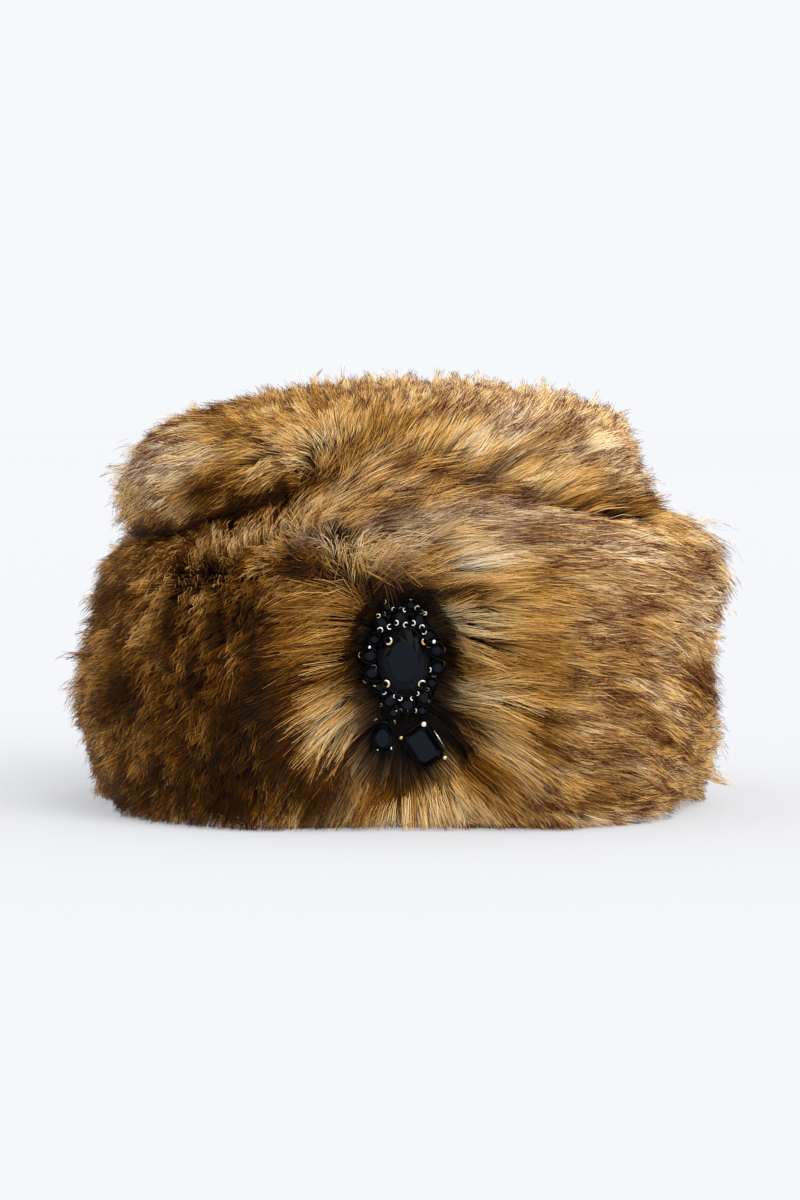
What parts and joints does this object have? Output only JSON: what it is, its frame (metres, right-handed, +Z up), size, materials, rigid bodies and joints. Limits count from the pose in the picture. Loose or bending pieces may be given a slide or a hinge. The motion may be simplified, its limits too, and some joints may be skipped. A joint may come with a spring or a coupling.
{
  "type": "faux fur pillbox beanie with stone brooch",
  "caption": "Brimless pillbox hat of long-pile faux fur, open below for the head, with an oval brooch of black stones and loose drops pinned to its front.",
  "frame": {"origin": "on the surface that the hat stands on, under the middle of its outline", "axes": "+Z up along the axis of the head opening, -Y towards the front with the brooch, +X towards the viewer's right"},
  "size_m": [0.2591, 0.2728, 0.166],
  "materials": {
    "fur_pile": "long glossy synthetic pile, brown at the root and tip and golden tan between",
    "backing_cloth": "matt knitted backing",
    "claw_metal": "bright, slightly tarnished plating",
    "black_stone": "polished and faceted, opaque black"
  },
  "bodies": {
    "root": {"band_cloth": "backing_cloth", "crown_cloth": "backing_cloth", "band_pile": "fur_pile", "crown_pile": "fur_pile", "brooch_frame": "claw_metal", "brooch_pin": "claw_metal", "drop_setting_left": "claw_metal", "drop_setting_right": "claw_metal", "drop_link_left": "claw_metal", "drop_link_right": "claw_metal", "stone_center": "black_stone", "stone_top_center": "black_stone", "stone_bottom_center": "black_stone", "stone_top_left": "black_stone", "stone_top_right": "black_stone", "stone_bottom_left": "black_stone", "stone_bottom_right": "black_stone", "stone_cap_upper_left": "black_stone", "stone_cap_upper_right": "black_stone", "stone_cap_lower_left": "black_stone", "stone_cap_lower_right": "black_stone", "stone_side_high_left": "black_stone", "stone_side_high_right": "black_stone", "stone_side_upper_left": "black_stone", "stone_side_upper_right": "black_stone", "stone_side_lower_left": "black_stone", "stone_side_lower_right": "black_stone", "stone_side_low_left": "black_stone", "stone_side_low_right": "black_stone", "drop_stone_left": "black_stone", "drop_stone_right": "black_stone"}
  },
  "joints": []
}
